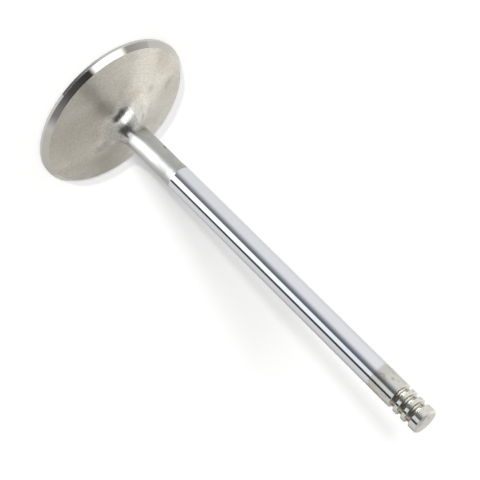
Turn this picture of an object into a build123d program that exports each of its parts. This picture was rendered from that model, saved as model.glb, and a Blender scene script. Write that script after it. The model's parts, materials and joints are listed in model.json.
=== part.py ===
"""Poppet valve for a piston engine: a flat head on a long ground stem, all one piece.

The valve stands on its combustion face. That face is z = 0 with its centre at
the origin, and the stem rises along +Z to the tip. Sizes are in millimetres
and angles in degrees.
"""
from build123d import *
from math import radians, tan
import os

# Head
head_dia = 52.4           # over the margin
margin_height = 1.0       # plain rim between the combustion face and the seat
seat_width = 1.5          # ground seat, measured along the radius
seat_angle = 45           # seat to the head's plane
underhead_angle = 12      # cone behind the seat to the head's plane
underhead_fillet = 8.0    # radius that carries the cone into the neck
face_edge_break = 0.2     # on the rim of the combustion face

# Stem
valve_length = 134.2      # combustion face to tip
stem_dia = 7.97           # plated and ground, to run in an 8 mm guide
neck_relief = 0.185       # depth of the neck below the stem's surface
guide_start = 32.4        # height at which the full stem diameter begins
relief_taper = 2.4        # length over which the neck opens out to the stem

# Keeper end
groove_count = 3
groove_radius = 0.78      # half-round keeper grooves, centred on the stem's surface
groove_pitch = 2.86
bead_edge_break = 0.12    # on both edges of every groove
tip_land = 3.66           # centre of the last groove to the tip
tip_chamfer = 0.55

# The corners of the half section, worked out from the sizes above
head_radius = head_dia / 2
stem_radius = stem_dia / 2
neck_radius = stem_radius - neck_relief
seat_top_radius = head_radius - seat_width
seat_top = margin_height + seat_width * tan(radians(seat_angle))
cone_top = seat_top + (seat_top_radius - neck_radius) * tan(radians(underhead_angle))
neck_top = guide_start - relief_taper
groove_heights = [valve_length - tip_land - n * groove_pitch for n in range(groove_count)]


def ring_at(solid, radius, height):
    """The circular edge of a turned solid nearest to this radius and height."""
    rings = solid.edges().filter_by(GeomType.CIRCLE)
    return rings.sort_by(lambda ring: abs(ring.radius - radius) + abs(ring.center().Z - height))[0]


with BuildPart() as valve:
    # The blank: one turned half section carries the head, neck and stem
    with BuildSketch(Plane.XZ):
        with BuildLine():
            Polyline(
                (0, 0),
                (head_radius, 0),
                (head_radius, margin_height),
                (seat_top_radius, seat_top),
                (neck_radius, cone_top),
                (neck_radius, neck_top),
                (stem_radius, guide_start),
                (stem_radius, valve_length),
                (0, valve_length),
                close=True,
            )
        make_face()
    revolve(axis=Axis.Z)

    # The corners: the swept root under the head, the rim and the tip
    fillet(ring_at(valve, neck_radius, cone_top), radius=underhead_fillet)
    chamfer(ring_at(valve, head_radius, 0), length=face_edge_break)
    chamfer(ring_at(valve, stem_radius, valve_length), length=tip_chamfer)

    # The keeper grooves, half-round and evenly pitched down from the tip
    with BuildSketch(Plane.XZ):
        with Locations([(stem_radius, height) for height in groove_heights]):
            Circle(groove_radius)
    revolve(axis=Axis.Z, mode=Mode.SUBTRACT)

    bead_edges = [
        ring_at(valve, stem_radius, height + side * groove_radius)
        for height in groove_heights
        for side in (-1, 1)
    ]
    chamfer(bead_edges, length=bead_edge_break)

valve.part.label = "valve"

os.makedirs("parts", exist_ok=True)
export_step(valve.part, "parts/valve.step")
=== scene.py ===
"""Dresses the engine valve: one turned piece with a finish for every stretch of it, on a pale stage."""

import json
import math

import bpy
from bpy.props import FloatProperty, FloatVectorProperty, IntProperty, PointerProperty
from mathutils import Matrix, Vector

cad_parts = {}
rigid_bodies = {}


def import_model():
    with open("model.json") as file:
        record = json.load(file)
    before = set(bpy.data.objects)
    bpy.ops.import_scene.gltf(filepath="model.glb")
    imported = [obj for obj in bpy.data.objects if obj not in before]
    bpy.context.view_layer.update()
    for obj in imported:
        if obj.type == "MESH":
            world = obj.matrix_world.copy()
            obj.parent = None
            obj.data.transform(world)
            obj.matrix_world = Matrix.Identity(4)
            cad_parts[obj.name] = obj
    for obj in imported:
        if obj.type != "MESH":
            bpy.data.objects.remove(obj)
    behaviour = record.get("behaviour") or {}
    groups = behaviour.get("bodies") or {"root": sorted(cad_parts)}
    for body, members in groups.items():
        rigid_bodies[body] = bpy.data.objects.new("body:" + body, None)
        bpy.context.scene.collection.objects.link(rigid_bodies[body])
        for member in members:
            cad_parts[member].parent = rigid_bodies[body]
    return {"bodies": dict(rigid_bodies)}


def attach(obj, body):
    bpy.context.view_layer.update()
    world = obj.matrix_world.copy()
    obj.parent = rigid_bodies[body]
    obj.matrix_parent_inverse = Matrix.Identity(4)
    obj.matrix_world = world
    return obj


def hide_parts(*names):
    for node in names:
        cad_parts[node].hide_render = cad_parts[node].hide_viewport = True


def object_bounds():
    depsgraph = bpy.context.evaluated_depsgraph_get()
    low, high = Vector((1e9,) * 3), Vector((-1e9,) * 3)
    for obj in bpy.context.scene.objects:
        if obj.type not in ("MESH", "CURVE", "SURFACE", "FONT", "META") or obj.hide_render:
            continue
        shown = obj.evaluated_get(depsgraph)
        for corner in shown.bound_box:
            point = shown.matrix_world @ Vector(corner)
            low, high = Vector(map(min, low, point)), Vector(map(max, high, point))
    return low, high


bl_info = {
    "name": "Engine Valve Dresser",
    "version": (1, 0, 0),
    "blender": (4, 5, 0),
    "location": "3D View > Sidebar > Valve",
    "description": "Makes the finished engine valve and the stage it stands on",
    "category": "Object",
}

MM = 0.001
UP = Vector((0, 0, 1))

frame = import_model()
CAD_LOW, CAD_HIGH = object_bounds()
BODY = next(iter(frame["bodies"]))
NODE = "valve"


# ---------------------------------------------------------------- settings


def length_prop(name, description, default):
    """A length in metres that a user may change."""
    return FloatProperty(
        name=name, description=description, default=default, min=0, unit="LENGTH", precision=5
    )


def angle_prop(name, description, degrees):
    """An angle that a user may change."""
    return FloatProperty(
        name=name, description=description, default=math.radians(degrees), subtype="ANGLE"
    )


def colour_prop(name, description, default):
    """A linear colour that a user may change."""
    return FloatVectorProperty(
        name=name, description=description, default=default, size=3, min=0, max=1, subtype="COLOR"
    )


class ValveSizes(bpy.types.PropertyGroup):
    """Sizes of the turned half section, from the combustion face to the tip."""

    head_radius: length_prop("Head radius", "Axis to margin", CAD_HIGH.x)
    valve_length: length_prop("Length", "Combustion face to tip", CAD_HIGH.z)
    face_edge_break: length_prop("Face edge break", "On the combustion face's rim", 0.2 * MM)
    margin_height: length_prop("Margin height", "Plain rim under the seat", 1.0 * MM)
    seat_width: length_prop("Seat width", "Ground seat, along the radius", 1.5 * MM)
    seat_angle: angle_prop("Seat angle", "Seat to the head's plane", 45)
    underhead_angle: angle_prop("Underhead angle", "Cone behind the seat", 12)
    underhead_fillet: length_prop("Underhead fillet", "Cone to neck", 8.0 * MM)
    stem_radius: length_prop("Stem radius", "Over the plating", 3.985 * MM)
    neck_relief: length_prop("Neck relief", "Neck below the stem's surface", 0.185 * MM)
    guide_start: length_prop("Guide start", "Height where the full stem begins", 32.4 * MM)
    relief_taper: length_prop("Relief taper", "Length of the neck's taper", 2.4 * MM)
    plating_end: length_prop("Plating end", "Height where the plating stops", 115.8 * MM)
    groove_radius: length_prop("Groove radius", "Half-round keeper groove", 0.78 * MM)
    groove_pitch: length_prop("Groove pitch", "Groove to groove", 2.86 * MM)
    groove_count: IntProperty(name="Grooves", description="Keeper grooves", default=3, min=1)
    bead_edge_break: length_prop("Bead edge break", "On both edges of a groove", 0.12 * MM)
    tip_land: length_prop("Tip land", "Last groove's centre to the tip", 3.66 * MM)
    tip_chamfer: length_prop("Tip chamfer", "On the tip's rim", 0.55 * MM)
    turns: IntProperty(name="Turns", description="Steps round the axis", default=288, min=24)


class ValveFinish(bpy.types.PropertyGroup):
    """Colours of the bare and the plated steel, of what has dried on them, and of painted shade."""

    turned: colour_prop("Turned steel", "Back of the head", (0.60, 0.58, 0.535))
    seat: colour_prop("Ground seat", "Seat and margin", (0.64, 0.63, 0.60))
    neck: colour_prop("Satin neck", "Root fillet and neck", (0.53, 0.53, 0.505))
    plate: colour_prop("Chrome plate", "Stem's guide length", (0.733, 0.748, 0.778))
    bare: colour_prop("Bare steel", "Unplated end of the stem", (0.635, 0.63, 0.59))
    keeper: colour_prop("Ground steel", "Grooves and tip", (0.69, 0.685, 0.64))
    smear: colour_prop("Brown smear", "Thin baked oil at the neck's foot", (0.72, 0.62, 0.53))
    # The film colour also lays painted shade over parts of the head's cone
    film: colour_prop("Oil film", "Dried film that darkens the bare steel", (0.74, 0.72, 0.68))
    stain: colour_prop("Oil stain", "Varnish specks on the unplated end", (0.20, 0.15, 0.10))
    # Painted shade for the keeper grooves, standing in for dark reflections there
    painted_shade: colour_prop("Groove grime", "Dirt left in the keeper grooves", (0.17, 0.16, 0.14))


class StageSettings(bpy.types.PropertyGroup):
    """Camera and floor."""

    lens: FloatProperty(name="Lens", description="Focal length in millimetres", default=104.9)
    distance: length_prop("Camera distance", "Camera to the point aimed at", 0.3952)
    elevation: angle_prop("Camera elevation", "Above the head's plane", 23.65)
    roll: angle_prop("Camera roll", "Turn about the line of sight", 134.79)
    aim_height: length_prop("Aim height", "Height of the point aimed at", 0.0598)
    aim_side: length_prop("Aim side", "Point aimed at, off the axis", 0.34 * MM)
    floor: colour_prop("Floor", "Pale floor", (0.86, 0.86, 0.855))


# ---------------------------------------------------------------- node helpers


def add_node(tree, kind, inputs=None, **settings):
    """Adds a node, sets its properties, and fills or links its inputs by name or index."""
    node = tree.nodes.new(kind)
    for key, value in settings.items():
        setattr(node, key, value)
    for key, value in (inputs or {}).items():
        plug(tree, value, node.inputs[key])
    return node


def plug(tree, value, socket):
    """Links a socket into another, or sets a plain value on it."""
    if isinstance(value, bpy.types.NodeSocket):
        tree.links.new(value, socket)
    elif isinstance(value, (tuple, list)) and len(value) == 3 and socket.type == "RGBA":
        socket.default_value = (*value, 1)
    else:
        socket.default_value = value


def maths(tree, operation, *values):
    """The result of one Math node."""
    node = add_node(tree, "ShaderNodeMath", operation=operation)
    for socket, value in zip(node.inputs, values):
        plug(tree, value, socket)
    return node.outputs[0]


def built_up(tree, base, *layers):
    """A base value with masks added to it, each times its own strength."""
    total = base
    for mask, strength in layers:
        total = maths(tree, "MULTIPLY_ADD", mask, strength, total)
    return total


def ramped(tree, value, low, high, to_low=0.0, to_high=1.0):
    """Maps a value smoothly from one range to another."""
    node = add_node(tree, "ShaderNodeMapRange", interpolation_type="SMOOTHSTEP")
    for socket, number in zip(node.inputs, (value, low, high, to_low, to_high)):
        plug(tree, number, socket)
    return node.outputs[0]


def between(tree, mask, first, second):
    """One value where a mask is 0 and another where it is 1."""
    return ramped(tree, mask, 0.0, 1.0, first, second)


# A Mix node's sockets for colours, by number, because its other kinds share their names
MIX_FACTOR, MIX_FIRST, MIX_SECOND, MIX_RESULT = 0, 6, 7, 2


def mixed(tree, factor, first, second, blend_type="MIX"):
    """The result of one colour Mix node."""
    values = {MIX_FACTOR: factor, MIX_FIRST: first, MIX_SECOND: second}
    node = add_node(tree, "ShaderNodeMix", values, data_type="RGBA", blend_type=blend_type)
    return node.outputs[MIX_RESULT]


def filmed(tree, mask, colour, film):
    """A colour seen through a film that lies where the mask is."""
    return mixed(tree, mask, colour, film, "MULTIPLY")


def faded(tree, mask, strength):
    """A mask at part of its strength."""
    return maths(tree, "MULTIPLY", mask, strength)


def parts_of(tree, place):
    """The X, Y and Z of a place."""
    return add_node(tree, "ShaderNodeSeparateXYZ", {0: place}).outputs


def object_place(tree):
    """The surface point in the piece's own coordinates."""
    return add_node(tree, "ShaderNodeTexCoord").outputs["Object"]


def axis_distance(tree, x, y):
    """How far a point lies from the valve's axis."""
    square = maths(tree, "ADD", maths(tree, "MULTIPLY", x, x), maths(tree, "MULTIPLY", y, y))
    return maths(tree, "SQRT", square)


def noise(tree, place, scale, detail, **inputs):
    """The value of one Noise Texture node in space."""
    values = {"Vector": place, "Scale": scale, "Detail": detail, **inputs}
    return add_node(tree, "ShaderNodeTexNoise", values).outputs[0]


def new_group(name, inputs, output):
    """A shader node group of float sockets: the group, what it is given, and its result."""
    group = bpy.data.node_groups.new(name, "ShaderNodeTree")
    for label, default in inputs:
        socket = group.interface.new_socket(name=label, in_out="INPUT", socket_type="NodeSocketFloat")
        socket.default_value = default
    group.interface.new_socket(name=output, in_out="OUTPUT", socket_type="NodeSocketFloat")
    return group, group.nodes.new("NodeGroupInput").outputs, group.nodes.new("NodeGroupOutput").inputs


def use_group(tree, name, **inputs):
    """Places a shared group in a material with its own values, and gives its result."""
    node = tree.nodes.new("ShaderNodeGroup")
    node.node_tree = bpy.data.node_groups[name]
    for key, value in inputs.items():
        plug(tree, value, node.inputs[key.replace("_", " ")])
    return node.outputs[0]


# ---------------------------------------------------------------- shared effects

RINGS = "Lathe Rings"
SMUDGES = "Handling Smudges"
SPECKS = "Stain Specks"
PATCH = "Film And Shade Patch"


def build_rings_group():
    """Fine rings left by the lathe or the grinding wheel, along the outline from rim to tip."""
    sockets = (("Pitch", 0.0003), ("Wander", 0.15), ("Break Up", 0.5))
    group, given, result = new_group(RINGS, sockets, "Height")
    place = object_place(group)
    x, y, z = parts_of(group, place)
    along = maths(group, "SUBTRACT", z, axis_distance(group, x, y))
    steps = maths(group, "DIVIDE", along, given["Pitch"])
    sway = noise(group, place, 160.0, 1.0)
    swayed = built_up(group, steps, (sway, given["Wander"]))
    rings = add_node(
        group, "ShaderNodeTexNoise", {"W": swayed, "Scale": 1.0, "Detail": 3.0, "Roughness": 0.6},
        noise_dimensions="1D",
    )
    patches = noise(group, place, 420.0, 2.0)
    weakest = maths(group, "SUBTRACT", 1.0, given["Break Up"])
    strength = ramped(group, patches, 0.35, 0.65, weakest, 1.0)
    centred = maths(group, "SUBTRACT", rings.outputs[0], 0.5)
    plug(group, built_up(group, 0.5, (centred, strength)), result["Height"])


def build_smudges_group():
    """Broad uneven patches, as thin oil and handling leave on polished steel."""
    sockets = (("Scale", 60.0), ("Low", 0.4), ("High", 0.65))
    group, given, result = new_group(SMUDGES, sockets, "Mask")
    cloud = noise(group, object_place(group), given["Scale"], 4.0, Roughness=0.55, Distortion=0.4)
    plug(group, ramped(group, cloud, given["Low"], given["High"]), result["Mask"])


def build_specks_group():
    """Small scattered stains with soft edges."""
    group, given, result = new_group(SPECKS, (("Scale", 900.0), ("Cover", 0.3)), "Mask")
    place = object_place(group)
    flattened = add_node(group, "ShaderNodeMapping", {"Vector": place, "Scale": (1.0, 1.0, 0.8)})
    cells = add_node(
        group, "ShaderNodeTexVoronoi", {"Vector": flattened.outputs[0], "Scale": given["Scale"]}
    )
    fields = noise(group, place, 300.0, 3.0)
    reach = ramped(group, fields, 0.45, 0.7, 0.0, given["Cover"])
    gap = maths(group, "SUBTRACT", reach, cells.outputs["Distance"])
    plug(group, ramped(group, gap, 0.0, 0.18), result["Mask"])


def build_patch_group():
    """One soft round mark at a chosen place."""
    sockets = (("X", 0.0), ("Y", 0.0), ("Z", 0.0), ("Radius", 0.001), ("Feather", 0.5))
    group, given, result = new_group(PATCH, sockets, "Mask")
    place = object_place(group)
    sway = noise(group, place, 500.0, 2.0)
    middle = add_node(group, "ShaderNodeCombineXYZ", {axis: given[axis] for axis in "XYZ"})
    apart = add_node(
        group, "ShaderNodeVectorMath", {0: place, 1: middle.outputs[0]}, operation="DISTANCE"
    )
    share = maths(group, "DIVIDE", apart.outputs["Value"], given["Radius"])
    wavy = built_up(group, share, (maths(group, "SUBTRACT", sway, 0.5), 0.5))
    inner = maths(group, "SUBTRACT", 1.0, given["Feather"])
    plug(group, ramped(group, wavy, inner, 1.0, 1.0, 0.0), result["Mask"])


def build_shared_effects():
    """Makes the shader groups once."""
    build_rings_group()
    build_smudges_group()
    build_specks_group()
    build_patch_group()


def marked(tree, colour, film, places, strength):
    """A colour with another laid over it in soft patches, as film, stain and painted shade: x, y, z and
    radius in millimetres.
    """
    for x, y, z, radius in places:
        patch = use_group(tree, PATCH, X=x * MM, Y=y * MM, Z=z * MM, Radius=radius * MM, Feather=0.85)
        colour = filmed(tree, faded(tree, patch, strength), colour, film)
    return colour


# ---------------------------------------------------------------- finishes

# Roughness of each surface
CONE_ROUGHNESS = 0.30
FILLET_ROUGHNESS = 0.15
NECK_ROUGHNESS = 0.42
SEAT_ROUGHNESS = 0.07
PLATE_ROUGHNESS = 0.045
GROUND_ROUGHNESS = 0.11
GROOVE_EXTRA_ROUGHNESS = 0.19
TIP_EXTRA_ROUGHNESS = 0.3

# Marks as x, y, z and radius in millimetres
# On the head's cone: partly smudges of film, partly painted shade standing in for the dark parts of the
# cone's reflection
HEAD_FILM_AND_PAINTED_SHADE = (
    (-12.8, -0.8, 5.0, 2.2),
    (-17.2, 6.3, 3.8, 2.2),
    (-19.1, 6.0, 3.5, 2.2),
    (-21.3, -4.0, 3.2, 6.5),
    (2.0, -12.4, 5.1, 4.6),
    (12.0, 9.0, 4.5, 8.0),
    (13.0, 16.8, 3.2, 7.0),
    (10.5, 2.2, 5.5, 3.0),
    (-8.4, -6.0, 5.6, 3.6),
)
NECK_STAINS = ((-2.5, -2.8, 13.4, 1.9),)
NECK_SMEARS = ((-2.8, -2.5, 14.0, 3.2), (-3.3, -1.8, 13.6, 1.9))
NECK_NICKS = ((-3.50, -1.45, 22.7, 0.85),)
END_NICKS = ((-2.11, -3.38, 120.5, 0.8),)

# Painted shade in every groove, on its side towards the camera, standing in for dark reflections there:
# x, y and radius in millimetres
GROOVE_PAINTED_SHADE = ((1.15, -3.05, 1.75), (3.0, -1.5, 0.8), (-2.7, -2.1, 0.7))

SMEAR_STRENGTH = 0.55


def metal(name):
    """A material with only a Principled BSDF, fully metallic."""
    material = bpy.data.materials.new(name)
    material.use_nodes = True
    shader = material.node_tree.nodes["Principled BSDF"]
    shader.inputs["Metallic"].default_value = 1.0
    return material, material.node_tree, shader.inputs


def shaded(tree, colour, shade):
    """A colour made darker by a grey."""
    return mixed(tree, 1.0, colour, shade, "MULTIPLY")


def bumped(tree, height, depth):
    """A Bump node's normal for a height that runs from 0 to 1 over the given depth in metres."""
    values = {"Strength": 1.0, "Distance": depth, "Height": height}
    return add_node(tree, "ShaderNodeBump", values).outputs[0]


def height_above_face(tree):
    """Distance from the combustion face along the axis, in metres."""
    return parts_of(tree, object_place(tree))[2]


def polish_ramp(tree, height):
    """Roughness up the head's back: turned cone, polished fillet, then the satin of the neck."""
    fillet = ramped(tree, height, 5.0 * MM, 7.0 * MM, CONE_ROUGHNESS, FILLET_ROUGHNESS)
    return ramped(tree, height, 11.0 * MM, 15.5 * MM, fillet, NECK_ROUGHNESS)


def turned_steel(finish):
    """Back of the head and root fillet: turned rings, polished more and more towards the neck."""
    material, tree, shader = metal("turned_steel")
    film = tuple(finish.film)
    rings = use_group(tree, RINGS, Pitch=0.35 * MM, Wander=0.6, Break_Up=0.6)
    smudges = use_group(tree, SMUDGES, Scale=90.0, Low=0.40, High=0.66)
    grain = use_group(tree, SMUDGES, Scale=1700.0, Low=0.25, High=0.75)
    height = height_above_face(tree)

    polish = ramped(tree, height, 5.2 * MM, 7.5 * MM)
    colour = mixed(tree, polish, tuple(finish.turned), tuple(finish.neck))
    colour = filmed(tree, faded(tree, smudges, 0.45), colour, film)
    # Film smudges and painted shade, in place of dark reflections, on the head's cone
    colour = marked(tree, colour, film, HEAD_FILM_AND_PAINTED_SHADE, 0.6)
    colour = marked(tree, colour, tuple(finish.smear), NECK_SMEARS, SMEAR_STRENGTH)
    shade = built_up(tree, 0.61, (rings, 0.55), (grain, 0.24))
    plug(tree, shaded(tree, colour, shade), shader["Base Color"])

    plug(tree, built_up(tree, polish_ramp(tree, height), (smudges, 0.04)), shader["Roughness"])
    plug(tree, bumped(tree, rings, depth=1.2e-6), shader["Normal"])
    shader["Anisotropic"].default_value = 0.75
    shader["Anisotropic Rotation"].default_value = 0.25
    round_axis = add_node(tree, "ShaderNodeTangent", direction_type="RADIAL", axis="Z")
    plug(tree, round_axis.outputs[0], shader["Tangent"])
    return material


def seat_steel(finish):
    """The seat and the margin: finely ground, almost a mirror."""
    material, tree, shader = metal("ground_seat")
    rings = use_group(tree, RINGS, Pitch=0.12 * MM, Wander=0.1, Break_Up=0.5)
    shade = built_up(tree, 0.94, (rings, 0.12))
    plug(tree, shaded(tree, tuple(finish.seat), shade), shader["Base Color"])
    plug(tree, bumped(tree, rings, depth=0.2e-6), shader["Normal"])
    shader["Roughness"].default_value = SEAT_ROUGHNESS
    return material


def stem_steel(finish, sizes):
    """Satin neck, hard chrome over the guide length, and the bare ground end above it."""
    material, tree, shader = metal("stem_steel")
    film, stain = tuple(finish.film), tuple(finish.stain)
    rings = use_group(tree, RINGS, Pitch=0.16 * MM, Wander=0.2, Break_Up=0.4)
    smudges = use_group(tree, SMUDGES, Scale=180.0, Low=0.4, High=0.7)
    specks = use_group(tree, SMUDGES, Scale=620.0, Low=0.55, High=0.78)
    height = height_above_face(tree)
    ragged = built_up(tree, height, (smudges, 0.5 * MM))
    start, stop = sizes.guide_start, sizes.plating_end
    above_neck = ramped(tree, height, start - 0.3 * MM, start + 0.1 * MM)
    above_plate = ramped(tree, ragged, stop - 0.4 * MM, stop + 0.7 * MM)

    neck = filmed(tree, faded(tree, smudges, 0.3), tuple(finish.neck), film)
    neck = marked(tree, neck, film, NECK_STAINS, 0.9)
    neck = marked(tree, neck, tuple(finish.smear), NECK_SMEARS, SMEAR_STRENGTH)
    neck = marked(tree, neck, stain, NECK_NICKS, 1.0)

    bare_end = mixed(tree, faded(tree, specks, 0.45), tuple(finish.bare), stain)
    tarnish = ramped(tree, ragged, stop + 2.0 * MM, stop + 5.5 * MM, 0.4, 0.0)
    bare_end = filmed(tree, tarnish, bare_end, film)
    bare_end = marked(tree, bare_end, film, END_NICKS, 1.0)

    guide = mixed(tree, above_neck, neck, tuple(finish.plate))
    colour = mixed(tree, above_plate, guide, bare_end)
    shade = built_up(tree, 0.93, (rings, 0.14))
    plug(tree, shaded(tree, colour, shade), shader["Base Color"])

    satin = built_up(tree, polish_ramp(tree, height), (smudges, 0.12))
    ground = built_up(tree, GROUND_ROUGHNESS, (specks, 0.15))
    below = between(tree, above_neck, satin, PLATE_ROUGHNESS)
    plug(tree, between(tree, above_plate, below, ground), shader["Roughness"])
    plug(tree, bumped(tree, rings, depth=0.5e-6), shader["Normal"])
    return material


def groove_centres(sizes):
    """Heights of the keeper grooves, from the tip down."""
    last = sizes.valve_length - sizes.tip_land
    return [last - number * sizes.groove_pitch for number in range(sizes.groove_count)]


def keeper_steel(finish, sizes):
    """The grooves and the tip: ground steel with specks of oil varnish, darker in the groove hollows,
    with painted shade in the grooves.
    """
    material, tree, shader = metal("ground_end")
    rings = use_group(tree, RINGS, Pitch=0.2 * MM, Wander=0.3, Break_Up=0.6)
    specks = use_group(tree, SPECKS, Scale=2200.0, Cover=0.6)
    x, y, z = parts_of(tree, object_place(tree))
    under_surface = ramped(
        tree, axis_distance(tree, x, y),
        sizes.stem_radius - 0.5 * MM, sizes.stem_radius - 0.1 * MM, 1.0, 0.0,
    )
    below_tip = maths(tree, "LESS_THAN", z, sizes.valve_length - sizes.tip_chamfer * 2)
    deep = maths(tree, "MULTIPLY", under_surface, below_tip)

    shade = built_up(tree, 0.9, (rings, 0.2))
    colour = shaded(tree, tuple(finish.keeper), shade)
    colour = filmed(tree, deep, colour, tuple(finish.film))
    # Painted shade spots in each groove, in place of dark reflections
    for centre in groove_centres(sizes):
        for x_place, y_place, reach in GROOVE_PAINTED_SHADE:
            spot = use_group(
                tree, PATCH, X=x_place * MM, Y=y_place * MM, Z=centre, Radius=reach * MM, Feather=0.7
            )
            groove_shade_spot = faded(tree, maths(tree, "MULTIPLY", spot, deep), 0.85)
            colour = filmed(tree, groove_shade_spot, colour, tuple(finish.painted_shade))
    colour = mixed(tree, faded(tree, specks, 0.5), colour, tuple(finish.stain))
    plug(tree, colour, shader["Base Color"])

    chamfer_foot = sizes.valve_length - sizes.tip_chamfer
    at_tip = ramped(tree, z, chamfer_foot - 0.05 * MM, chamfer_foot + 0.1 * MM)
    roughness = built_up(
        tree, GROUND_ROUGHNESS,
        (specks, 0.15), (deep, GROOVE_EXTRA_ROUGHNESS), (at_tip, TIP_EXTRA_ROUGHNESS),
    )
    plug(tree, roughness, shader["Roughness"])
    plug(tree, bumped(tree, rings, depth=0.3e-6), shader["Normal"])
    return material


# ---------------------------------------------------------------- half section

GUARD = 0.02 * MM            # keeps the shading of a long run flat up to its rounded ends
EDGE_ROUND = 0.05 * MM
LIP_ROUND = 0.03 * MM
SHOULDER_ROUND = 0.5 * MM
RELIEF_ROUND = 6 * MM
EDGE_STEPS = 3
LIP_STEPS = 2
SHOULDER_STEPS = 4
RELIEF_STEPS = 6
GROOVE_STEPS = 12
FILLET_STEPS = 56


def arc(centre, radius, start, end, steps):
    """Points of an arc in the half section, its ends included, with angles from the radius's axis."""
    angles = [start + (end - start) * step / steps for step in range(steps + 1)]
    return [(centre[0] + radius * math.cos(a), centre[1] + radius * math.sin(a)) for a in angles]


def rounded(before, corner, after, radius, steps):
    """A tangent arc in place of a corner of the half section."""
    back = (Vector(before) - Vector(corner)).normalized()
    ahead = (Vector(after) - Vector(corner)).normalized()
    half = back.angle(ahead) / 2
    centre = Vector(corner) + (back + ahead).normalized() * radius / math.sin(half)
    start = Vector(corner) + back * radius / math.tan(half) - centre
    sweep = start.angle_signed(Vector(corner) + ahead * radius / math.tan(half) - centre)
    angle = math.atan2(start.y, start.x)
    return arc(centre, radius, angle, angle - sweep, steps)


def groove_corners(sizes, centre):
    """Corners of one half-round groove with its two broken bead edges."""
    surface, lip = sizes.stem_radius, sizes.bead_edge_break
    bottom = surface - sizes.groove_radius
    low, high = centre - sizes.groove_radius, centre + sizes.groove_radius
    return [
        (surface, low - lip, LIP_ROUND, LIP_STEPS),
        (surface - lip, low, LIP_ROUND, LIP_STEPS),
        (bottom, low, sizes.groove_radius - lip, GROOVE_STEPS),
        (bottom, high, sizes.groove_radius - lip, GROOVE_STEPS),
        (surface - lip, high, LIP_ROUND, LIP_STEPS),
        (surface, high + lip, LIP_ROUND, LIP_STEPS),
    ]


def half_section(sizes):
    """The outline's points from the combustion face's centre to the tip's.

    Each corner gives its radius, its height, its rounding and the rounding's steps.
    """
    seat_top_radius = sizes.head_radius - sizes.seat_width
    neck_radius = sizes.stem_radius - sizes.neck_relief
    seat_top = seat_top_height(sizes)
    cone_top = seat_top + (seat_top_radius - neck_radius) * math.tan(sizes.underhead_angle)
    corners = [
        (0, 0, 0, 0),
        (sizes.head_radius - sizes.face_edge_break, 0, EDGE_ROUND, EDGE_STEPS),
        (sizes.head_radius, sizes.face_edge_break, EDGE_ROUND, EDGE_STEPS),
        (sizes.head_radius, sizes.margin_height, EDGE_ROUND, EDGE_STEPS),
        (seat_top_radius, seat_top, EDGE_ROUND, EDGE_STEPS),
        (neck_radius, cone_top, sizes.underhead_fillet, FILLET_STEPS),
        (neck_radius, sizes.guide_start - sizes.relief_taper, RELIEF_ROUND, RELIEF_STEPS),
        (sizes.stem_radius, sizes.guide_start, SHOULDER_ROUND, SHOULDER_STEPS),
    ]
    for centre in reversed(groove_centres(sizes)):
        corners += groove_corners(sizes, centre)
    chamfer_foot = sizes.valve_length - sizes.tip_chamfer
    corners += [
        (sizes.stem_radius, chamfer_foot, EDGE_ROUND, EDGE_STEPS),
        (sizes.stem_radius - sizes.tip_chamfer, sizes.valve_length, EDGE_ROUND, EDGE_STEPS),
        (0, sizes.valve_length, 0, 0),
    ]
    return outline_points(corners)


def seat_top_height(sizes):
    """Height of the seat's inner edge."""
    return sizes.margin_height + sizes.seat_width * math.tan(sizes.seat_angle)


def outline_points(corners):
    """The outline with its corners rounded, and a guard point just inside both ends of each run."""
    places = [corner[:2] for corner in corners]
    arcs = [[places[0]]]
    for at in range(1, len(corners) - 1):
        radius, steps = corners[at][2:]
        arcs.append(rounded(places[at - 1], places[at], places[at + 1], radius, steps))
    arcs.append([places[-1]])
    points = list(arcs[0])
    for nearer, further in zip(arcs, arcs[1:]):
        first, last = Vector(nearer[-1]), Vector(further[0])
        run = last - first
        if run.length > 4 * GUARD:
            step = run.normalized() * GUARD
            points += [tuple(first + step), tuple(last - step)]
        points += further
    return points


# ---------------------------------------------------------------- lathe tree

LATHE = "Lathe"
ZONES = ("Turned From", "Stem From", "Keeper From")
WELD_DISTANCE = 1e-7


def gn_socket(tree, name, in_out, kind, default=None):
    """A named socket on a Geometry Nodes tree."""
    socket = tree.interface.new_socket(name=name, in_out=in_out, socket_type=f"NodeSocket{kind}")
    if default is not None:
        socket.default_value = default


def add_lathe_sockets(tree):
    """The lathe's named inputs and its output."""
    gn_socket(tree, "Section", "INPUT", "Geometry")
    gn_socket(tree, "Turns", "INPUT", "Int", 96)
    gn_socket(tree, "Crease Angle", "INPUT", "Float", math.radians(30))
    gn_socket(tree, "First Finish", "INPUT", "Material")
    for zone in ZONES:
        gn_socket(tree, zone, "INPUT", "Float", 0.0)
        gn_socket(tree, f"{zone} Finish", "INPUT", "Material")
    gn_socket(tree, "Turned Piece", "OUTPUT", "Geometry")


def is_greater(tree, first, second):
    """Where one number is above another."""
    return add_node(
        tree, "FunctionNodeCompare", {0: first, 1: second},
        data_type="FLOAT", operation="GREATER_THAN",
    ).outputs[0]


def here(tree):
    """The X, Y and Z of each point."""
    return parts_of(tree, add_node(tree, "GeometryNodeInputPosition").outputs[0])


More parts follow.
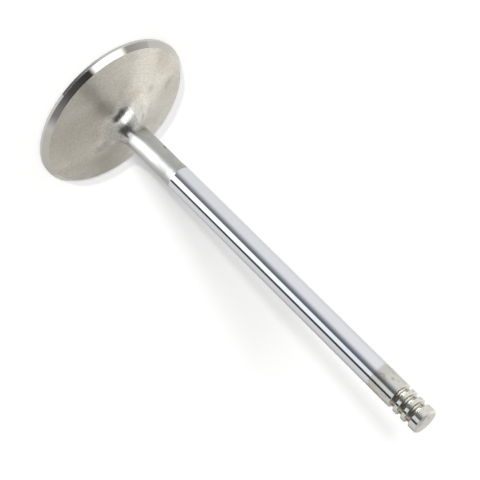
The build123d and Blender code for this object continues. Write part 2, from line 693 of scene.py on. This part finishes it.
def turned_wall(tree, section, turns):
    """A grid of section points by turns, wrapped round the axis and closed."""
    count = add_node(tree, "GeometryNodeAttributeDomainSize", {"Geometry": section})
    count = count.outputs["Point Count"]
    last = maths(tree, "SUBTRACT", count, 1.0)
    grid = add_node(
        tree, "GeometryNodeMeshGrid",
        {
            "Size X": last,
            "Size Y": turns,
            "Vertices X": count,
            "Vertices Y": maths(tree, "ADD", turns, 1.0),
        },
    )
    cell = here(tree)
    row = maths(tree, "ROUND", maths(tree, "MULTIPLY_ADD", last, 0.5, cell[0]))
    column = maths(tree, "ROUND", maths(tree, "MULTIPLY_ADD", turns, 0.5, cell[1]))
    radius, _, height = parts_of(tree, sampled_place(tree, section, row))
    share = maths(tree, "DIVIDE", maths(tree, "MODULO", column, turns), turns)
    angle = maths(tree, "MULTIPLY", share, math.tau)
    turned_to = add_node(
        tree, "ShaderNodeCombineXYZ",
        {
            "X": maths(tree, "MULTIPLY", radius, maths(tree, "COSINE", angle)),
            "Y": maths(tree, "MULTIPLY", radius, maths(tree, "SINE", angle)),
            "Z": height,
        },
    )
    wall = add_node(
        tree, "GeometryNodeSetPosition",
        {"Geometry": grid.outputs["Mesh"], "Position": turned_to.outputs[0]},
    )
    closed = add_node(
        tree, "GeometryNodeMergeByDistance",
        {"Geometry": wall.outputs[0], "Distance": WELD_DISTANCE},
    )
    return add_node(tree, "GeometryNodeFlipFaces", {"Mesh": closed.outputs[0]}).outputs[0]


def sampled_place(tree, section, row):
    """Position of the section's point with the given number."""
    value = add_node(tree, "GeometryNodeInputPosition").outputs[0]
    node = add_node(
        tree, "GeometryNodeSampleIndex", {"Geometry": section, "Value": value, "Index": row},
        data_type="FLOAT_VECTOR", domain="POINT",
    )
    return node.outputs["Value"]


def creased(tree, geometry, crease_angle):
    """The piece shaded smooth, with its sharp edges kept sharp."""
    smoothed = add_node(
        tree, "GeometryNodeSetShadeSmooth", {"Geometry": geometry, "Shade Smooth": True}
    )
    edge_angle = add_node(tree, "GeometryNodeInputMeshEdgeAngle").outputs[0]
    return add_node(
        tree, "GeometryNodeSetShadeSmooth",
        {
            "Geometry": smoothed.outputs[0],
            "Selection": is_greater(tree, edge_angle, crease_angle),
            "Shade Smooth": False,
        },
        domain="EDGE",
    ).outputs[0]


def build_lathe_tree():
    """Turns a chain of points about Z, closes it, and gives each stretch of its height a material."""
    tree = bpy.data.node_groups.new(LATHE, "GeometryNodeTree")
    add_lathe_sockets(tree)
    given = tree.nodes.new("NodeGroupInput").outputs
    result = tree.nodes.new("NodeGroupOutput").inputs
    wall = turned_wall(tree, given["Section"], given["Turns"])
    piece = creased(tree, wall, given["Crease Angle"])
    piece = add_node(tree, "GeometryNodeRealizeInstances", {"Geometry": piece}).outputs[0]
    piece = add_node(
        tree, "GeometryNodeSetMaterial", {"Geometry": piece, "Material": given["First Finish"]}
    ).outputs[0]
    height = here(tree)[2]
    for zone in ZONES:
        piece = add_node(
            tree, "GeometryNodeSetMaterial",
            {
                "Geometry": piece,
                "Selection": is_greater(tree, height, given[zone]),
                "Material": given[f"{zone} Finish"],
            },
        ).outputs[0]
    plug(tree, piece, result[0])
    return tree


def set_input(modifier, name, value):
    """Sets a Geometry Nodes input through its socket's identifier."""
    socket = modifier.node_group.interface.items_tree[name]
    modifier[socket.identifier] = value


def applied(obj):
    """The object again, as a plain mesh made from its modifiers' result."""
    bpy.context.view_layer.update()
    evaluated = obj.evaluated_get(bpy.context.evaluated_depsgraph_get())
    mesh = bpy.data.meshes.new_from_object(evaluated)
    obj.modifiers.clear()
    obj.data = mesh
    return obj


# Where one finish takes over from another, inside surfaces that both finishes share
NECK_FINISH_RISE = 11 * MM
KEEPER_FINISH_LEAD = 1.0 * MM


def turned_piece(name, points, sizes, finish):
    """The whole valve as one closed mesh."""
    chain = bpy.data.meshes.new(name)
    links = [(n, n + 1) for n in range(len(points) - 1)]
    chain.from_pydata([(radius, 0, height) for radius, height in points], links, [])
    piece = bpy.data.objects.new(name, chain)
    bpy.context.collection.objects.link(piece)
    lathe = piece.modifiers.new(LATHE, "NODES")
    lathe.node_group = build_lathe_tree()
    seat_top = seat_top_height(sizes)
    lowest_groove = groove_centres(sizes)[-1]
    stretches = (
        ("Turned From", seat_top, turned_steel(finish)),
        ("Stem From", seat_top + NECK_FINISH_RISE, stem_steel(finish, sizes)),
        ("Keeper From", lowest_groove - KEEPER_FINISH_LEAD, keeper_steel(finish, sizes)),
    )
    set_input(lathe, "Turns", sizes.turns)
    set_input(lathe, "First Finish", seat_steel(finish))
    for zone, height, material in stretches:
        set_input(lathe, zone, height)
        set_input(lathe, f"{zone} Finish", material)
    return applied(piece)


class VALVE_OT_make_valve(bpy.types.Operator):
    """Make the finished valve in place of the plain one"""

    bl_idname = "valve.make_valve"
    bl_label = "Make Valve"

    def execute(self, context):
        sizes, finish = context.scene.valve_sizes, context.scene.valve_finish
        build_shared_effects()
        piece = turned_piece("valve_finished", half_section(sizes), sizes, finish)
        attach(piece, BODY)
        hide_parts(NODE)
        return {"FINISHED"}


# ---------------------------------------------------------------- camera, floor and sky

FLOOR_REACH = 4.0
SENSOR_WIDTH = 36
NEAR_CLIP = 10 * MM

SKY_SEEN = (1, 1, 1)
SKY_IN_POLISH = (0.87, 0.87, 0.875)
SKY_LIGHT = (0.60, 0.60, 0.60)


def linked(name, data):
    """A new object in the scene."""
    obj = bpy.data.objects.new(name, data)
    bpy.context.collection.objects.link(obj)
    return obj


def emptied_tree(owner):
    """The cleared node tree of a material or a world."""
    owner.use_nodes = True
    owner.node_tree.nodes.clear()
    return owner.node_tree


def place_camera(context, stage):
    """Puts a camera on the -Y side, rolled about its line of sight, and gives its place."""
    lens = bpy.data.cameras.new("camera")
    lens.lens = stage.lens
    lens.sensor_width = SENSOR_WIDTH
    lens.clip_start = NEAR_CLIP
    camera = linked("camera", lens)
    away = Vector((0, -math.cos(stage.elevation), math.sin(stage.elevation)))
    aim = Vector((stage.aim_side, 0, stage.aim_height))
    roll = Matrix.Rotation(stage.roll, 4, "Z").to_quaternion()
    camera.rotation_mode = "QUATERNION"
    camera.rotation_quaternion = away.to_track_quat("Z", "Y") @ roll
    camera.location = aim + away * stage.distance
    context.scene.camera = camera
    return camera.location.copy()


def pale_floor(stage):
    """A wide floor at the combustion face's height that keeps a soft shadow.

    The polish looks through it at the cards below.
    """
    mesh = bpy.data.meshes.new("floor")
    corners = [(x * FLOOR_REACH, y * FLOOR_REACH, 0) for x, y in ((-1, -1), (1, -1), (1, 1), (-1, 1))]
    mesh.from_pydata(corners, [], [(0, 1, 2, 3)])
    floor = linked("floor", mesh)
    material = bpy.data.materials.new("pale_floor")
    tree = emptied_tree(material)
    path = add_node(tree, "ShaderNodeLightPath")
    matt = add_node(tree, "ShaderNodeBsdfDiffuse", {"Color": tuple(stage.floor)})
    clear = add_node(tree, "ShaderNodeBsdfTransparent")
    shown = add_node(
        tree, "ShaderNodeMixShader",
        {0: path.outputs["Is Glossy Ray"], 1: matt.outputs[0], 2: clear.outputs[0]},
    )
    add_node(tree, "ShaderNodeOutputMaterial", {"Surface": shown.outputs[0]})
    mesh.materials.append(material)


def studio_world(context):
    """White to the camera, and a soft even light for everything else."""
    world = bpy.data.worlds.new("studio")
    context.scene.world = world
    tree = emptied_tree(world)
    path = add_node(tree, "ShaderNodeLightPath")
    polish = mixed(tree, path.outputs["Is Glossy Ray"], SKY_LIGHT, SKY_IN_POLISH)
    tone = mixed(tree, path.outputs["Is Camera Ray"], polish, SKY_SEEN)
    sky = add_node(tree, "ShaderNodeBackground", {"Color": tone, "Strength": 1.0})
    add_node(tree, "ShaderNodeOutputWorld", {"Surface": sky.outputs[0]})


def soft_sun(name, toward, spread, power):
    """A far light that lights the floor and casts its shadow, and doesn't show in the polish."""
    light = bpy.data.lights.new(name, "SUN")
    light.angle = math.radians(spread)
    light.energy = power
    lamp = linked(name, light)
    lamp.rotation_mode = "QUATERNION"
    lamp.rotation_quaternion = toward.to_track_quat("Z", "Y")
    lamp.visible_glossy = False


# ---------------------------------------------------------------- cards

COOL, WARM, CREAM = (0.97, 1.0, 1.03), (1.0, 0.975, 0.93), (1.0, 0.99, 0.95)
PLAIN, BLUISH, ROSY, ICY = (1, 1, 1), (0.95, 1.0, 1.04), (1, 0.99, 0.98), (0.97, 1.0, 1.05)

RING_ROWS, RING_COLUMNS = 13, 33
SEAT_COLUMNS = 33
COLLAR_COLUMNS = 17

SEAT_CARD_GAP = 20 * MM
SEAT_CARD_WIDTH = 18 * MM
SEAT_CARD_ROOT = 9 * MM

# Each edge gives its radius and height in millimetres, its extra turn in degrees and its
# share of the brightness, the outer edge first
NECK_CARD_EDGES = ((26, 19, -10, 1.9), (6, 12.1, 8, 0.8))
GROOVE_CARD_EDGES = ((20, 113, 0, 1.0), (5.5, 122.5, 0, 1.0))


def eased(share):
    """An even ease between 0 and 1."""
    share = min(max(share, 0.0), 1.0)
    return share * share * (3 - 2 * share)


def blend(first, second, share):
    """A value between two others."""
    return first + (second - first) * share


def glowing(tone, tint):
    """A card's colour at a point."""
    return [part * tone for part in tint]


def way(azimuth, elevation):
    """Unit direction from degrees: azimuth 0 faces the camera's side and 90 faces +X."""
    turn, rise = math.radians(azimuth), math.radians(elevation)
    return Vector((math.sin(turn) * math.cos(rise), -math.cos(turn) * math.cos(rise), math.sin(rise)))


def card_material(one_sided):
    """A glow that takes its colour from the card's own points; one-sided, its back is clear."""
    name = "clear_backed_glow" if one_sided else "card_glow"
    made = bpy.data.materials.get(name)
    if made:
        return made
    material = bpy.data.materials.new(name)
    tree = emptied_tree(material)
    tone = add_node(tree, "ShaderNodeAttribute", attribute_name="glow").outputs["Color"]
    surface = add_node(tree, "ShaderNodeEmission", {"Color": tone}).outputs[0]
    if one_sided:
        behind = add_node(tree, "ShaderNodeNewGeometry").outputs["Backfacing"]
        clear = add_node(tree, "ShaderNodeBsdfTransparent").outputs[0]
        surface = add_node(tree, "ShaderNodeMixShader", {0: behind, 1: surface, 2: clear}).outputs[0]
    add_node(tree, "ShaderNodeOutputMaterial", {"Surface": surface})
    return material


def card_object(name, points, glows, rows, columns, one_sided=False):
    """A sheet of rows and columns of points that only polished surfaces see."""
    faces = []
    for row in range(rows - 1):
        for column in range(columns - 1):
            at = row * columns + column
            faces.append((at, at + 1, at + columns + 1, at + columns))
    mesh = bpy.data.meshes.new(name)
    mesh.from_pydata(points, [], faces)
    layer = mesh.attributes.new("glow", "FLOAT_COLOR", "POINT")
    for element, glow in zip(layer.data, glows):
        element.color = (*glow, 1)
    mesh.materials.append(card_material(one_sided))
    card = linked(name, mesh)
    for flag in ("camera", "diffuse", "transmission", "volume_scatter", "shadow"):
        setattr(card, f"visible_{flag}", False)


def edge(left, right, elevation, left_tone, right_tone=None):
    """One edge of a far card: two azimuths and an elevation in degrees, and its brightness.

    With one brightness, both ends of the edge have it.
    """
    if right_tone is None:
        right_tone = left_tone
    return left, right, elevation, left_tone, right_tone


def reflector(name, low, high, tint=PLAIN, distance=4.0):
    """A far card on a wide ring round the valve, graded from edge to edge.

    A nearer card covers a farther one where they overlap.
    """
    points, glows = [], []
    for row in range(RING_ROWS):
        up = row / (RING_ROWS - 1)
        left, right, elevation = (blend(low[at], high[at], up) for at in range(3))
        left_tone, right_tone = (blend(low[at], high[at], eased(up)) for at in (3, 4))
        for column in range(RING_COLUMNS):
            across = column / (RING_COLUMNS - 1)
            points.append(way(blend(left, right, across), elevation) * distance)
            glows.append(glowing(blend(left_tone, right_tone, eased(across)), tint))
    card_object(name, points, glows, RING_ROWS, RING_COLUMNS)


def mirrored_way(place, normal, eye):
    """Where a mirror at a place looks, seen from the eye."""
    view = (eye - place).normalized()
    return 2 * normal.dot(view) * normal - view


def seat_card(name, sizes, eye, turns, tones, tint=PLAIN):
    """A small card just above the seat, that the seat mirrors over part of its round.

    It leans between the seat's line of sight and the fillet's, so the seat meets its front
    and the fillet and the stem meet its clear back.
    """
    points, glows = [], []
    lean = math.pi / 2 - sizes.seat_angle
    radius = sizes.head_radius - sizes.seat_width / 2
    height = sizes.margin_height + sizes.seat_width / 2
    root = UP * SEAT_CARD_ROOT
    for side in (-0.5, 0.5):
        for column in range(SEAT_COLUMNS):
            across = column / (SEAT_COLUMNS - 1)
            out = way(blend(*turns, across), 0)
            place = out * radius + UP * height
            normal = out * math.cos(lean) + UP * math.sin(lean)
            mirrored = mirrored_way(place, normal, eye)
            middle = place + mirrored * SEAT_CARD_GAP
            along = ((middle - root).normalized() * 0.6 + mirrored * 0.4).normalized()
            points.append(middle + along * SEAT_CARD_WIDTH * side)
            glows.append(glowing(blend(*tones, eased(across)), tint))
    card_object(name, points, glows, 2, SEAT_COLUMNS, one_sided=True)


def collar_card(name, edges, turns, tones, tint):
    """Part of a collar round the axis, bright on top and clear below."""
    points, glows = [], []
    for radius, height, extra, share in edges:
        for column in range(COLLAR_COLUMNS):
            across = column / (COLLAR_COLUMNS - 1)
            points.append(way(blend(*turns, across) + extra, 0) * radius * MM + UP * height * MM)
            glows.append(glowing(blend(*tones, eased(across)) * share, tint))
    card_object(name, points, glows, len(edges), COLLAR_COLUMNS, one_sided=True)


def low_cards():
    """Cards below the horizon, which the head's cone and the stem's lower side see."""
    reflector("left_low_wall", edge(-110, -45, -45, 0.8), edge(-110, -33, -9, 1.0, 1.02))
    reflector(
        "camera_shade", edge(-58, 6, -45, 0.83, 0.2), edge(-33, 6, -9, 1.0, 0.2), COOL, 3.95
    )
    reflector("camera_dark", edge(6, 30, -45, 0.2), edge(6, 30, -9, 0.17), COOL, 3.95)
    reflector("low_strip", edge(11, 56, -29, 1.6), edge(23.5, 49, -9, 0.92), BLUISH, 3.9)
    reflector("thin_flag", edge(56, 76, -29, 0.10), edge(49, 68, -9, 0.06), distance=3.85)
    reflector("right_low_wall", edge(57, 112, -45, 0.92, 0.88), edge(57, 112, -9, 0.88, 0.80), ROSY)
    reflector(
        "right_low_edge", edge(112, 150, -45, 0.88, 0.85), edge(112, 150, -9, 0.80, 0.32), ROSY
    )


def front_cards():
    """The dark front and the bright box above it, on the camera's side."""
    reflector("front_left_shade", edge(-70, 10, -9, 0.8, 0.12), edge(-70, 10, 26, 0.8, 0.12))
    reflector("front_shade", edge(10, 52, -9, 0.12), edge(10, 52, 26, 0.12))
    reflector("front_right_shade", edge(52, 92, -9, 0.12, 0.7), edge(52, 92, 26, 0.12, 0.7))
    reflector("front_box", edge(-98, -8, 25, 1.9), edge(-98, -8, 55.5, 1.9, 2.2))
    reflector("front_box_end", edge(-8, 12, 25, 1.9, 0.52), edge(-8, 12, 55.5, 2.2, 1.4))
    reflector("front_box_tail", edge(12, 44, 25, 0.52, 0.26), edge(12, 44, 55.5, 1.4, 1.05))
    reflector("box_corner", edge(-98, -82, 50.5, 0.8), edge(-98, -82, 55.5, 0.65, 0.5), distance=3.96)
    reflector("box_corner_end", edge(-82, -68, 53, 0.8), edge(-82, -68, 55.5, 0.5, 0.4), distance=3.96)
    reflector("right_box_end", edge(44, 92, 25, 0.6, 0.72), edge(44, 92, 61, 0.85, 0.75), WARM)


def top_cards():
    """The ceiling: dark over the camera's side and plain behind."""
    reflector("zenith_left", edge(-125, -75, 55.5, 0.75, 0.25), edge(-125, -75, 79, 0.70, 0.15))
    reflector("zenith", edge(-75, 28, 55.5, 0.10, 0.05), edge(-75, 28, 80, 0.12, 0.10), distance=3.97)
    reflector("zenith_right", edge(28, 80, 55.5, 0.05, 0.75), edge(28, 80, 79, 0.10, 0.75))
    reflector("zenith_back", edge(80, 235, 61, 0.75, 0.8), edge(80, 235, 79, 0.78, 0.8), WARM)
    reflector("crown", edge(-125, 235, 79, 0.72), edge(-125, 235, 90, 0.78), WARM)


def side_and_back_cards():
    """The walls at both sides and behind, and the shade that the combustion face sees."""
    reflector("right_wall", edge(92, 150, -9, 0.70, 0.62), edge(92, 150, 61, 0.70, 0.85), WARM)
    reflector("left_wall", edge(-150, -98, -9, 1.2), edge(-150, -98, 44, 1.2, 1.35), CREAM)
    reflector("left_wall_top", edge(-150, -98, 44, 1.2, 1.35), edge(-150, -98, 55, 0.75), CREAM)
    reflector("back_left_low", edge(150, 178, -9, 0.70, 0.5), edge(150, 178, 22, 0.5, 0.52), WARM)
    reflector("back_left_foot", edge(150, 178, -45, 0.6), edge(150, 178, -13, 0.62), WARM)
    reflector("back_left_step", edge(150, 178, -13, 0.62), edge(150, 178, -9, 0.74, 0.85), WARM)
    reflector("left_gap", edge(-150, -125, 55, 0.75), edge(-150, -125, 61, 0.75), WARM)
    reflector("back_left", edge(150, 178, 22, 1.05, 0.8), edge(150, 178, 44, 0.6, 0.62), WARM)
    reflector("back_left_top", edge(150, 178, 44, 0.6, 0.62), edge(150, 178, 61, 0.6, 0.62), WARM)
    reflector("back_right", edge(178, 210, -9, 1.1), edge(178, 210, 61, 0.6, 0.9), CREAM)
    reflector(
        "back_window", edge(191, 207, 12, 1.3, 1.4), edge(191, 207, 48.5, 1.35, 1.4), CREAM, 3.9
    )
    reflector("under_shade", edge(90, 270, -80, 0.25), edge(90, 270, -38, 0.25))


def near_cards(sizes, eye):
    """Small cards that only one surface sees: the neck, the grooves or the seat."""
    collar_card("neck_glow", NECK_CARD_EDGES, (3, 47), (2.6, 2.6), ICY)
    collar_card("neck_glow_end", NECK_CARD_EDGES, (47, 84), (2.6, 0.6), ICY)
    collar_card("groove_glow", GROOVE_CARD_EDGES, (-66, -18), (12, 12), CREAM)
    seat_card("seat_left", sizes, eye, (-108, -56), (0.9, 0.80), CREAM)
    seat_card("seat_brown", sizes, eye, (-56, -37.5), (0.62, 0.46), CREAM)
    seat_card("seat_brown_edge", sizes, eye, (-37.5, -31.5), (0.46, 1.9), CREAM)
    seat_card("seat_white", sizes, eye, (-31.5, -12.5), (1.9, 1.9))
    seat_card("seat_white_edge", sizes, eye, (-12.5, -7), (1.9, 0.05))
    seat_card("seat_dark", sizes, eye, (-7, 8), (0.05, 0.09))
    seat_card("seat_dark_middle", sizes, eye, (8, 27), (0.09, 0.28))
    seat_card("seat_dark_end", sizes, eye, (27, 41), (0.28, 0.75))


class VALVE_OT_make_stage(bpy.types.Operator):
    """Make the floor, the light and the camera"""

    bl_idname = "valve.make_stage"
    bl_label = "Make Stage"

    def execute(self, context):
        stage = context.scene.valve_stage
        eye = place_camera(context, stage)
        pale_floor(stage)
        studio_world(context)
        low_cards()
        front_cards()
        top_cards()
        side_and_back_cards()
        near_cards(context.scene.valve_sizes, eye)
        soft_sun("key_light", toward=way(-4.8, 27), spread=8, power=2.8)
        soft_sun("low_light", toward=way(-2.2, 14), spread=1.2, power=2.3)
        context.scene.view_settings.view_transform = "Standard"
        return {"FINISHED"}


# ---------------------------------------------------------------- panel and registration


class VALVE_PT_dresser(bpy.types.Panel):
    """Lists the valve's operators and settings"""

    bl_idname = "VALVE_PT_dresser"
    bl_label = "Engine Valve"
    bl_space_type = "VIEW_3D"
    bl_region_type = "UI"
    bl_category = "Valve"

    def draw(self, context):
        layout = self.layout
        for operator in OPERATORS:
            layout.operator(operator.bl_idname)
        for name in SETTINGS:
            group = getattr(context.scene, name)
            box = layout.box()
            for setting in group.__annotations__:
                box.prop(group, setting)


OPERATORS = (VALVE_OT_make_valve, VALVE_OT_make_stage)
SETTINGS = {"valve_sizes": ValveSizes, "valve_finish": ValveFinish, "valve_stage": StageSettings}
CLASSES = (*SETTINGS.values(), *OPERATORS, VALVE_PT_dresser)


def register():
    """Registers the classes and hangs the settings on the scene."""
    for cls in CLASSES:
        bpy.utils.register_class(cls)
    for name, group in SETTINGS.items():
        setattr(bpy.types.Scene, name, PointerProperty(type=group))


def unregister():
    """Takes off what register put on."""
    for name in SETTINGS:
        delattr(bpy.types.Scene, name)
    for cls in reversed(CLASSES):
        bpy.utils.unregister_class(cls)


def main():
    """Makes everything in order."""
    register()
    bpy.ops.valve.make_valve()
    bpy.ops.valve.make_stage()


if __name__ == "__main__":
    main()
